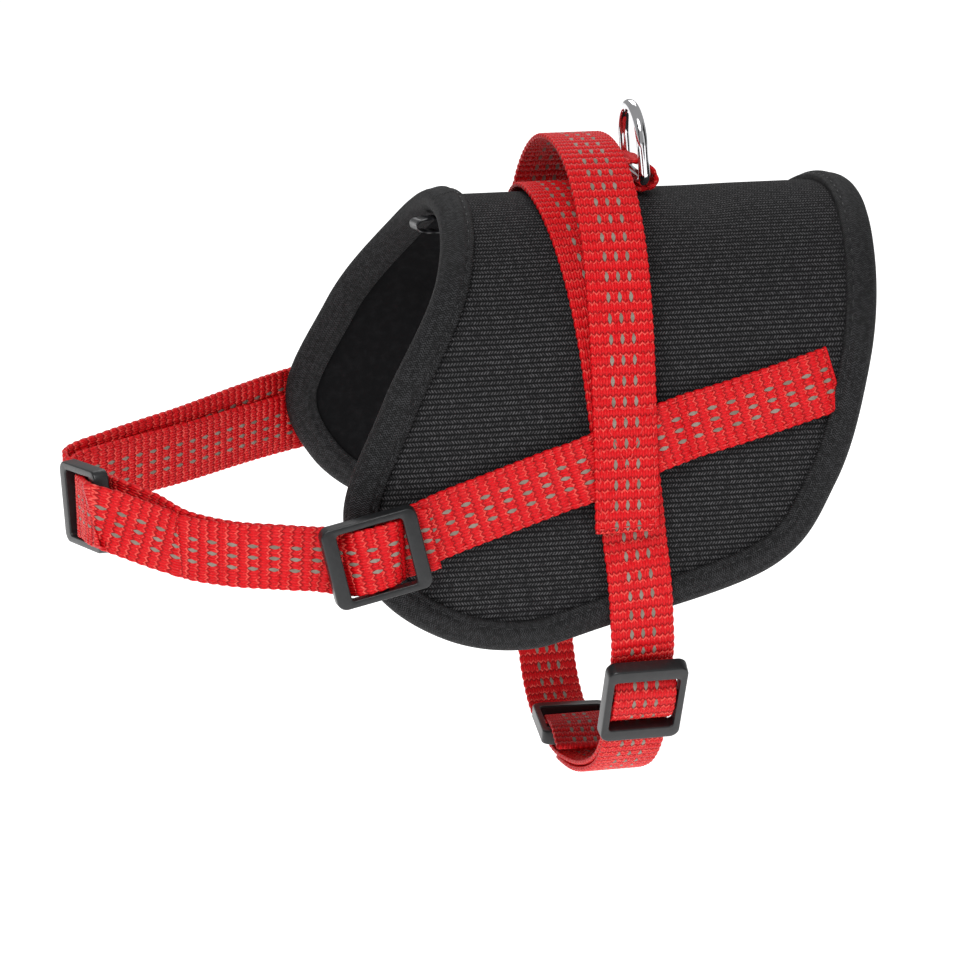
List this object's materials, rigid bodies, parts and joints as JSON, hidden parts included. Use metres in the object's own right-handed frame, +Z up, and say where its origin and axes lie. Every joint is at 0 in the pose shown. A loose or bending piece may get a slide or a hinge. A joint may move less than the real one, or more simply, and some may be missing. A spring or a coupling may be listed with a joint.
{
  "type": "dog harness",
  "caption": "Padded saddle with folded webbing handle and a ring on its back, held by webbing around the chest and under the belly with slide adjusters.",
  "frame": {"origin": "on the lining under the middle of the ridge, where the dog's back touches the saddle", "axes": "+X towards the tail, -Y the near side, on the dog's left, +Z up"},
  "size_m": [0.1904, 0.1115, 0.1656],
  "materials": {
    "webbing": "ribbed polyester webbing with rows of grey-beige dots",
    "cover": "dark knit softshell with fine horizontal rows",
    "foam": "soft sheet padding, not seen",
    "lining": "smooth dark knit",
    "binding": "woven tape, slightly shiny",
    "label": "satin",
    "slider": "satin moulded plastic",
    "ring": "bright polished"
  },
  "bodies": {
    "harness": {"saddle_cover": "cover", "saddle_foam": "foam", "saddle_lining": "lining", "edge_binding": "binding", "neck_label": "label", "chest_strap": "webbing", "chest_strap_outer_left": "webbing", "chest_strap_outer_right": "webbing", "girth_strap": "webbing", "belly_strap": "webbing", "belly_strap_outer": "webbing", "handle_strap": "webbing", "ring_tab": "webbing"},
    "ring": {"lead_ring": "ring"},
    "left_chest_adjuster": {"left_chest_slider": "slider", "left_chest_slider_loop": "webbing"},
    "right_chest_adjuster": {"right_chest_slider": "slider", "right_chest_slider_loop": "webbing"},
    "left_girth_adjuster": {"left_girth_slider": "slider", "left_girth_slider_loop": "webbing"},
    "right_girth_adjuster": {"right_girth_slider": "slider", "right_girth_slider_loop": "webbing"}
  },
  "joints": [
    {"name": "ring_swing", "type": "hinge", "parent": "harness", "child": "ring", "pos_m": [-0.0009, 0, 0.0069], "axis": [0, 1, 0], "range_deg": [-15, 80]},
    {"name": "left_chest_adjust", "type": "slide", "parent": "harness", "child": "left_chest_adjuster", "axis": [-0.9928, 0, -0.1198], "range_m": [0, 0.008]},
    {"name": "right_chest_adjust", "type": "slide", "parent": "harness", "child": "right_chest_adjuster", "axis": [0.3, -0.9443, 0.135], "range_m": [0, 0.005]},
    {"name": "left_girth_adjust", "type": "slide", "parent": "harness", "child": "left_girth_adjuster", "axis": [0, 0.38, -0.925], "range_m": [-0.002, 0.006]},
    {"name": "right_girth_adjust", "type": "slide", "parent": "harness", "child": "right_girth_adjuster", "axis": [-0.09, -0.9951, 0.04], "range_m": [-0.002, 0.004]}
  ]
}
